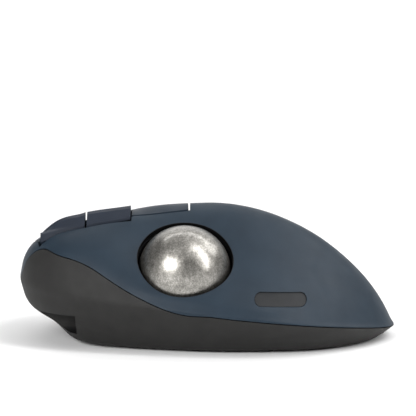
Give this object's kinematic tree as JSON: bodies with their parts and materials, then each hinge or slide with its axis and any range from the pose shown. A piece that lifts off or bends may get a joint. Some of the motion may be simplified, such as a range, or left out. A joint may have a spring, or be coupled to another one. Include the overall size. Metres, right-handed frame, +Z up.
{
  "type": "trackball mouse",
  "caption": "Cordless right-handed mouse body with a thumb-turned ball set in its side, click plates, scroll wheel, ridge-mounted side keys and a charging inlet.",
  "frame": {"origin": "centre of the bounding box in plan, on the plane its glide pads rest on", "axes": "+X towards the thumb side that holds the ball, +Y from the button end towards the palm end, +Z up"},
  "size_m": [0.0927, 0.1373, 0.0494],
  "materials": {
    "shell_blue": "soft-touch satin, dark slate blue",
    "button_blue": "soft-touch satin, dark slate blue",
    "base_black": "fine matt texture, warm black",
    "spine_black": "satin black",
    "button_black": "satin blue-black",
    "badge": "satin black inlay, blank",
    "light_pipe": "translucent white",
    "ball_silver": "pearl silver, polished",
    "ball_core": "moulded core",
    "bearing": "polished ceramic",
    "cup_black": "black, smooth",
    "wheel_hub": "black",
    "wheel_rubber": "ribbed black rubber",
    "steel": "bright plated",
    "frame_plastic": "black moulded",
    "switch_black": "black",
    "board": "green solder mask",
    "lens": "clear",
    "plunger": "white",
    "knob": "grey",
    "receiver_black": "matt black",
    "battery": "laminated foil",
    "wire": "red and black insulation",
    "ribbon": "white flat cable",
    "pad": "slippery dark pad",
    "label": "blank sticker"
  },
  "bodies": {
    "housing": {"top_shell": "shell_blue", "side_badge": "badge", "base_shell": "base_black", "centre_spine": "spine_black", "light_pipe": "light_pipe", "support_bearings": "bearing", "ball_cup": "cup_black", "wheel_frame": "frame_plastic", "main_board": "board", "button_board": "board", "side_board": "board", "sensor_board": "board", "optical_sensor": "switch_black", "sensor_lens": "lens", "left_switch": "switch_black", "right_switch": "switch_black", "wheel_switch": "switch_black", "dpi_switch": "switch_black", "forward_switch": "switch_black", "back_switch": "switch_black", "mode_switch": "switch_black", "power_switch": "switch_black", "battery_pack": "battery", "battery_strap": "frame_plastic", "battery_leads": "wire", "battery_socket": "plunger", "charge_port": "steel", "port_tongue": "switch_black", "ribbon_cable": "ribbon", "glide_pads": "pad", "case_screws": "steel", "board_screws": "steel", "base_label": "label"},
    "left_button": {"left_button": "button_blue"},
    "right_button": {"right_button": "button_blue"},
    "dpi_button": {"dpi_button": "button_black"},
    "forward_button": {"forward_button": "button_black"},
    "back_button": {"back_button": "button_black"},
    "ball": {"ball": "ball_silver"},
    "ball_core": {"ball_core": "ball_core"},
    "wheel": {"wheel_hub": "wheel_hub", "wheel_tyre": "wheel_rubber", "wheel_axle": "steel"},
    "wheel_carrier": {"wheel_carrier": "frame_plastic", "encoder": "switch_black"},
    "mode_button": {"mode_button": "button_black"},
    "power_knob": {"power_knob": "knob"},
    "receiver": {"receiver": "receiver_black", "receiver_plug": "steel"},
    "left_plunger": {"left_plunger": "plunger"},
    "right_plunger": {"right_plunger": "plunger"},
    "wheel_plunger": {"wheel_plunger": "plunger"},
    "dpi_plunger": {"dpi_plunger": "plunger"},
    "forward_plunger": {"forward_plunger": "plunger"},
    "back_plunger": {"back_plunger": "plunger"},
    "mode_plunger": {"mode_plunger": "plunger"}
  },
  "joints": [
    {"name": "left_click", "type": "hinge", "parent": "housing", "child": "left_button", "pos_m": [0, -0.008, 0.047], "axis": [1, 0, 0], "range_deg": [0, 0.85], "stiffness_Nm_per_rad": 1.2},
    {"name": "right_click", "type": "hinge", "parent": "housing", "child": "right_button", "pos_m": [-0.027, -0.008, 0.04], "axis": [1, 0, 0], "range_deg": [0, 0.85], "stiffness_Nm_per_rad": 1.2},
    {"name": "forward_press", "type": "slide", "parent": "housing", "child": "forward_button", "axis": [0, 0, -1], "range_m": [0, 0.0004], "stiffness_N_per_m": 800},
    {"name": "back_press", "type": "slide", "parent": "housing", "child": "back_button", "axis": [0, 0, -1], "range_m": [0, 0.0004], "stiffness_N_per_m": 800},
    {"name": "dpi_press", "type": "slide", "parent": "housing", "child": "dpi_button", "axis": [0, 0, -1], "range_m": [0, 0.0004], "stiffness_N_per_m": 800},
    {"name": "mode_press", "type": "slide", "parent": "housing", "child": "mode_button", "axis": [0, 0, 1], "range_m": [0, 0.0004], "stiffness_N_per_m": 800},
    {"name": "wheel_click", "type": "hinge", "parent": "housing", "child": "wheel_carrier", "pos_m": [-0.0085, -0.0145, 0.027], "axis": [1, 0, 0], "range_deg": [0, 2], "stiffness_Nm_per_rad": 0.6},
    {"name": "wheel_spin", "type": "hinge", "parent": "wheel_carrier", "child": "wheel", "pos_m": [-0.0085, -0.03, 0.0319], "axis": [1, 0, 0], "continuous": true},
    {"name": "power_slide", "type": "slide", "parent": "housing", "child": "power_knob", "axis": [0, 1, 0], "range_m": [0, 0.003]},
    {"name": "receiver_pull", "type": "slide", "parent": "housing", "child": "receiver", "axis": [0, 0, -1], "range_m": [0, 0.009]},
    {"name": "ball_roll", "type": "hinge", "parent": "housing", "child": "ball_core", "pos_m": [0.0252, -0.0083, 0.0273], "axis": [0, 1, 0], "continuous": true},
    {"name": "ball_turn", "type": "hinge", "parent": "ball_core", "child": "ball", "pos_m": [0.0252, -0.0083, 0.0273], "axis": [0.7771, 0, -0.6293], "continuous": true},
    {"name": "left_plunge", "type": "slide", "parent": "housing", "child": "left_plunger", "axis": [0, 0, -1], "range_m": [0, 0.0008]},
    {"name": "right_plunge", "type": "slide", "parent": "housing", "child": "right_plunger", "axis": [0, 0, -1], "range_m": [0, 0.0008]},
    {"name": "wheel_plunge", "type": "slide", "parent": "housing", "child": "wheel_plunger", "axis": [0, 0, -1], "range_m": [0, 0.00095]},
    {"name": "dpi_plunge", "type": "slide", "parent": "housing", "child": "dpi_plunger", "axis": [0, 0, -1], "range_m": [0, 0.0005]},
    {"name": "forward_plunge", "type": "slide", "parent": "housing", "child": "forward_plunger", "axis": [0, 0, -1], "range_m": [0, 0.0005]},
    {"name": "back_plunge", "type": "slide", "parent": "housing", "child": "back_plunger", "axis": [0, 0, -1], "range_m": [0, 0.0005]},
    {"name": "mode_plunge", "type": "slide", "parent": "housing", "child": "mode_plunger", "axis": [0, 0, 1], "range_m": [0, 0.0005]}
  ],
  "couplings": [
    {"joint": "left_plunge", "follows": "left_click", "m_per_rad": 0.042},
    {"joint": "right_plunge", "follows": "right_click", "m_per_rad": 0.039},
    {"joint": "wheel_plunge", "follows": "wheel_click", "m_per_rad": 0.024},
    {"joint": "dpi_plunge", "follows": "dpi_press", "ratio": 1},
    {"joint": "forward_plunge", "follows": "forward_press", "ratio": 1},
    {"joint": "back_plunge", "follows": "back_press", "ratio": 1},
    {"joint": "mode_plunge", "follows": "mode_press", "ratio": 1}
  ]
}
